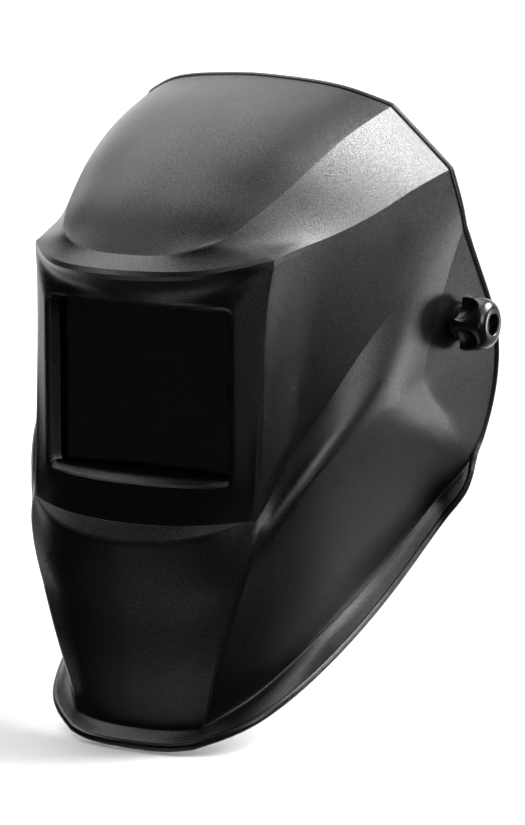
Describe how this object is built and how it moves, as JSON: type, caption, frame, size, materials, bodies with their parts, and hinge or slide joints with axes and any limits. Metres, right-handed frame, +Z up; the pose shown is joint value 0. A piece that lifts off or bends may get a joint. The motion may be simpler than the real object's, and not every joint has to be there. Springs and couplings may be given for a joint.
{
  "type": "welding helmet",
  "caption": "Auto-darkening welding helmet: a faceted mask with a recessed window, a flip-up pivot on tension knobs, and ratchet headgear inside.",
  "frame": {"origin": "midpoint of the flip axis, between the two side pivots, at the wearer's temples", "axes": "+Z up, -Y the way the wearer faces (the window's side), +X the wearer's left"},
  "size_m": [0.252, 0.3, 0.326],
  "materials": {
    "shell_plastic": "fine grained moulded nylon, matte black",
    "frame_plastic": "moulded, matte black",
    "case_plastic": "moulded, fine texture",
    "clear_lens": "polished clear polycarbonate",
    "dark_glass": "polished dark filter glass",
    "solar": "polished amorphous silicon",
    "sensor": "polished dark red lens",
    "board": "solder mask",
    "cell": "polished steel can",
    "dial_plastic": "moulded, satin",
    "wire_steel": "drawn spring wire",
    "knob_plastic": "polished moulded black",
    "bolt_plastic": "moulded, satin black",
    "insert_brass": "turned",
    "band_plastic": "moulded, satin black",
    "rivet_steel": "plain",
    "towelling": "brushed terry over foam",
    "gear_plastic": "moulded acetal",
    "spring_steel": "spring strip"
  },
  "bodies": {
    "headgear": {"headband": "band_plastic", "sweatband": "towelling", "crown_strap_front": "band_plastic", "crown_strap_rear": "band_plastic", "crown_pegs": "dial_plastic", "crown_pad": "towelling", "band_rivets": "rivet_steel", "distance_plate_left": "band_plastic", "distance_plate_right": "band_plastic", "pivot_bolt_left": "bolt_plastic", "pivot_bolt_right": "bolt_plastic", "stop_plate_left": "bolt_plastic", "stop_plate_right": "bolt_plastic", "outer_washer_left": "bolt_plastic", "outer_washer_right": "bolt_plastic"},
    "shell_unit": {"shell": "shell_plastic", "pivot_bush_left": "bolt_plastic", "pivot_bush_right": "bolt_plastic", "front_cover_lens": "clear_lens", "filter_frame": "frame_plastic", "filter_front_case": "case_plastic", "filter_back_case": "case_plastic", "lcd_glass": "dark_glass", "solar_panel": "solar", "arc_sensors": "sensor", "circuit_board": "board", "inner_cover_lens": "clear_lens", "frame_clips": "frame_plastic"},
    "battery": {"battery_tray": "dial_plastic", "coin_cell": "cell"},
    "shade_control": {"shade_dial": "dial_plastic"},
    "sensitivity_control": {"sensitivity_dial": "dial_plastic"},
    "delay_control": {"delay_dial": "dial_plastic"},
    "bail": {"retaining_wire": "wire_steel"},
    "knob_left": {"tension_knob_left": "knob_plastic", "knob_nut_left": "insert_brass"},
    "knob_right": {"tension_knob_right": "knob_plastic", "knob_nut_right": "insert_brass"},
    "rear_cradle": {"rear_tail_left": "band_plastic", "rear_tail_right": "band_plastic", "ratchet_housing": "band_plastic", "ratchet_cover": "dial_plastic", "ratchet_spring": "spring_steel", "rear_pad": "towelling"},
    "ratchet": {"ratchet_pinion": "gear_plastic", "ratchet_knob": "dial_plastic"}
  },
  "joints": [
    {"name": "helmet_flip", "type": "hinge", "parent": "headgear", "child": "shell_unit", "pos_m": [0, 0, 0], "axis": [-1, 0, 0], "range_deg": [0, 85]},
    {"name": "knob_left_turn", "type": "hinge", "parent": "headgear", "child": "knob_left", "pos_m": [0.118, 0, 0], "axis": [1, 0, 0], "range_deg": [0, 360]},
    {"name": "knob_right_turn", "type": "hinge", "parent": "headgear", "child": "knob_right", "pos_m": [-0.118, 0, 0], "axis": [-1, 0, 0], "range_deg": [0, 360]},
    {"name": "headband_size", "type": "slide", "parent": "headgear", "child": "rear_cradle", "axis": [0, -1, 0], "range_m": [0, 0.024], "deforming": ["rear_tail_left", "rear_tail_right"]},
    {"name": "ratchet_turn", "type": "hinge", "parent": "rear_cradle", "child": "ratchet", "pos_m": [0, 0.12, 0], "axis": [0, 1, 0], "range_deg": [0, 250.5]},
    {"name": "shade_turn", "type": "hinge", "parent": "shell_unit", "child": "shade_control", "pos_m": [-0.038, -0.1189, -0.06], "axis": [0, 1, 0], "range_deg": [0, 270]},
    {"name": "sensitivity_turn", "type": "hinge", "parent": "shell_unit", "child": "sensitivity_control", "pos_m": [-0.018, -0.1189, -0.06], "axis": [0, 1, 0], "range_deg": [0, 270]},
    {"name": "delay_turn", "type": "hinge", "parent": "shell_unit", "child": "delay_control", "pos_m": [-0.002, -0.1189, -0.06], "axis": [0, 1, 0], "range_deg": [0, 270]},
    {"name": "battery_slide", "type": "slide", "parent": "shell_unit", "child": "battery", "axis": [0, 0, -1], "range_m": [0, 0.018]},
    {"name": "bail_swing", "type": "hinge", "parent": "shell_unit", "child": "bail", "pos_m": [0, -0.1268, -0.01], "axis": [-1, 0, 0], "range_deg": [0, 100]}
  ],
  "couplings": [
    {"joint": "ratchet_turn", "follows": "headband_size", "rad_per_m": 182}
  ]
}
